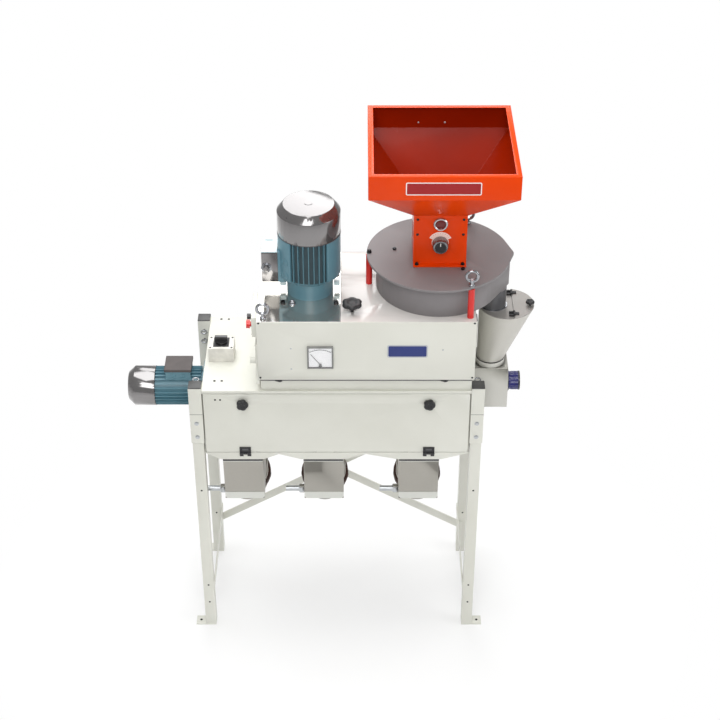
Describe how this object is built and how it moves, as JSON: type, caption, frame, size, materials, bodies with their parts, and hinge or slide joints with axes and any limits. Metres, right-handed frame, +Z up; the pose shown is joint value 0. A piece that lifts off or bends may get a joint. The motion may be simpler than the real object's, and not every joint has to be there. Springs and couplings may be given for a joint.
{
  "type": "stone grain mill",
  "caption": "Belt-driven stone grain mill with a square hopper, a stone drum and a meal funnel, on a sifter with bagging spouts and bolted legs.",
  "frame": {"origin": "on the floor, at the centre of the rectangle of the four foot bolts", "axes": "+Z up, +X to the operator's right along the sifter, +Y away from the operator"},
  "size_m": [1.5697, 0.579, 2.168],
  "materials": {
    "white_paint": "semi-gloss powder coat",
    "gloss_white": "gloss enamel",
    "drum_grey": "satin enamel",
    "hopper_red": "gloss enamel",
    "signal_red": "gloss enamel",
    "motor_blue": "satin enamel on ribbed aluminium",
    "cowl_grey": "satin enamel on pressed steel",
    "spout_steel": "fine brushed",
    "funnel_steel": "fine brushed",
    "screen_steel": "bright",
    "turned_steel": "turned",
    "zinc": "zinc plated",
    "chrome_steel": "polished",
    "bearing_iron": "machined",
    "millstone": "dressed",
    "belt_rubber": "matt",
    "strap_brown": "oiled",
    "black_plastic": "moulded",
    "box_grey": "moulded",
    "button_black": "moulded",
    "button_red": "moulded",
    "knob_grey": "ribbed",
    "dial_white": "moulded",
    "needle_black": "matt",
    "inlet_blue": "moulded",
    "sight_glass": "polished bezel"
  },
  "bodies": {
    "frame": {"legs": "white_paint", "corner_posts": "white_paint", "post_caps": "black_plastic", "bolts": "zinc", "leg_braces": "white_paint", "eye_bolts": "chrome_steel", "sifter_casing": "white_paint", "outlet_tray": "white_paint", "door_hinge_fixed": "black_plastic", "sieve_screen": "screen_steel", "bearing_units": "bearing_iron", "sifter_motor_body": "motor_blue", "sifter_motor_cowl": "cowl_grey", "outlet_spouts": "spout_steel", "bag_straps": "strap_brown", "base_skirt": "white_paint", "mill_body": "white_paint", "top_plate": "gloss_white", "front_panel": "white_paint", "ammeter": "dial_white", "motor_housing": "motor_blue", "motor_cowl": "cowl_grey", "motor_terminal_box": "cowl_grey", "drive_belts": "belt_rubber", "bed_stone": "millstone", "drum": "drum_grey", "drum_lid": "drum_grey", "lid_posts": "signal_red", "feed_box": "hopper_red", "sight_glass": "sight_glass", "hopper": "hopper_red", "meal_funnel": "funnel_steel", "lower_duct": "white_paint", "power_inlet": "inlet_blue", "stop_box": "white_paint", "switch_box": "box_grey"},
    "mill_rotor": {"spindle": "turned_steel", "runner_stone": "millstone", "mill_pulley": "bearing_iron"},
    "motor_rotor": {"motor_shaft": "turned_steel", "motor_pulley": "bearing_iron"},
    "sifter_rotor": {"beater_rotor": "screen_steel"},
    "sifter_door": {"sifter_door": "white_paint", "door_hinge_moving": "black_plastic"},
    "left_latch": {"door_knob_left": "black_plastic"},
    "right_latch": {"door_knob_right": "black_plastic"},
    "feed_control": {"feed_knob": "knob_grey", "feed_flap": "turned_steel"},
    "hatch": {"hatch_flap": "funnel_steel", "hatch_knob": "black_plastic"},
    "selector": {"switch_handle": "button_black"},
    "stop_push": {"stop_button": "button_red"},
    "start_push": {"start_button": "button_black"},
    "tension_screw": {"tension_knob": "black_plastic"},
    "base_screw_left": {"base_knob_left": "black_plastic"},
    "base_screw_right": {"base_knob_right": "black_plastic"},
    "clamp_left": {"clamp_lever_left": "zinc"},
    "clamp_middle": {"clamp_lever_middle": "zinc"},
    "clamp_right": {"clamp_lever_right": "zinc"},
    "meter_needle": {"ammeter_pointer": "needle_black"}
  },
  "joints": [
    {"name": "mill_spin", "type": "hinge", "parent": "frame", "child": "mill_rotor", "pos_m": [0.38, -0.046, 1.55], "axis": [0, 0, 1], "continuous": true},
    {"name": "motor_spin", "type": "hinge", "parent": "frame", "child": "motor_rotor", "pos_m": [-0.097, -0.085, 1.55], "axis": [0, 0, 1], "continuous": true},
    {"name": "beater_spin", "type": "hinge", "parent": "frame", "child": "sifter_rotor", "pos_m": [0, 0, 1.06], "axis": [1, 0, 0], "continuous": true},
    {"name": "door_swing", "type": "hinge", "parent": "frame", "child": "sifter_door", "pos_m": [0, -0.26, 0.9215], "axis": [1, 0, 0], "range_deg": [0, 165]},
    {"name": "left_latch_turn", "type": "hinge", "parent": "sifter_door", "child": "left_latch", "pos_m": [-0.357, -0.255, 1.161], "axis": [0, -1, 0], "range_deg": [0, 90]},
    {"name": "right_latch_turn", "type": "hinge", "parent": "sifter_door", "child": "right_latch", "pos_m": [0.352, -0.255, 1.161], "axis": [0, -1, 0], "range_deg": [0, 90]},
    {"name": "feed_turn", "type": "hinge", "parent": "frame", "child": "feed_control", "pos_m": [0.38, -0.13, 1.795], "axis": [0, 1, 0], "range_deg": [0, 90]},
    {"name": "hatch_swing", "type": "hinge", "parent": "frame", "child": "hatch", "pos_m": [0.667, -0.046, 1.4808], "axis": [0, -1, 0], "range_deg": [0, 80]},
    {"name": "selector_turn", "type": "hinge", "parent": "frame", "child": "selector", "pos_m": [-0.447, -0.021, 1.285], "axis": [0, 0, 1], "range_deg": [0, 90]},
    {"name": "stop_press", "type": "slide", "parent": "frame", "child": "stop_push", "axis": [1, 0, 0], "range_m": [0, 0.005], "stiffness_N_per_m": 300},
    {"name": "start_press", "type": "slide", "parent": "frame", "child": "start_push", "axis": [1, 0, 0], "range_m": [0, 0.005], "stiffness_N_per_m": 300},
    {"name": "tension_turn", "type": "hinge", "parent": "frame", "child": "tension_screw", "pos_m": [0.06, -0.238, 1.59], "axis": [0, 0, 1], "range_deg": [0, 720]},
    {"name": "base_screw_left_turn", "type": "hinge", "parent": "frame", "child": "base_screw_left", "pos_m": [-0.215, -0.246, 1.288], "axis": [0, 1, 0], "range_deg": [0, 360]},
    {"name": "base_screw_right_turn", "type": "hinge", "parent": "frame", "child": "base_screw_right", "pos_m": [0.406, -0.246, 1.288], "axis": [0, 1, 0], "range_deg": [0, 360]},
    {"name": "clamp_left_swing", "type": "hinge", "parent": "frame", "child": "clamp_left", "pos_m": [-0.46, -0.168, 0.672], "axis": [0, 0, 1], "range_deg": [0, 90]},
    {"name": "clamp_middle_swing", "type": "hinge", "parent": "frame", "child": "clamp_middle", "pos_m": [-0.145, -0.168, 0.672], "axis": [0, 0, 1], "range_deg": [0, 90]},
    {"name": "clamp_right_swing", "type": "hinge", "parent": "frame", "child": "clamp_right", "pos_m": [0.229, -0.168, 0.672], "axis": [0, 0, 1], "range_deg": [0, 90]},
    {"name": "needle_swing", "type": "hinge", "parent": "frame", "child": "meter_needle", "pos_m": [-0.057, -0.318, 1.382], "axis": [0, 1, 0], "range_deg": [0, 74], "stiffness_Nm_per_rad": 0.02}
  ],
  "couplings": [
    {"joint": "motor_spin", "follows": "mill_spin", "ratio": 2.6522}
  ]
}
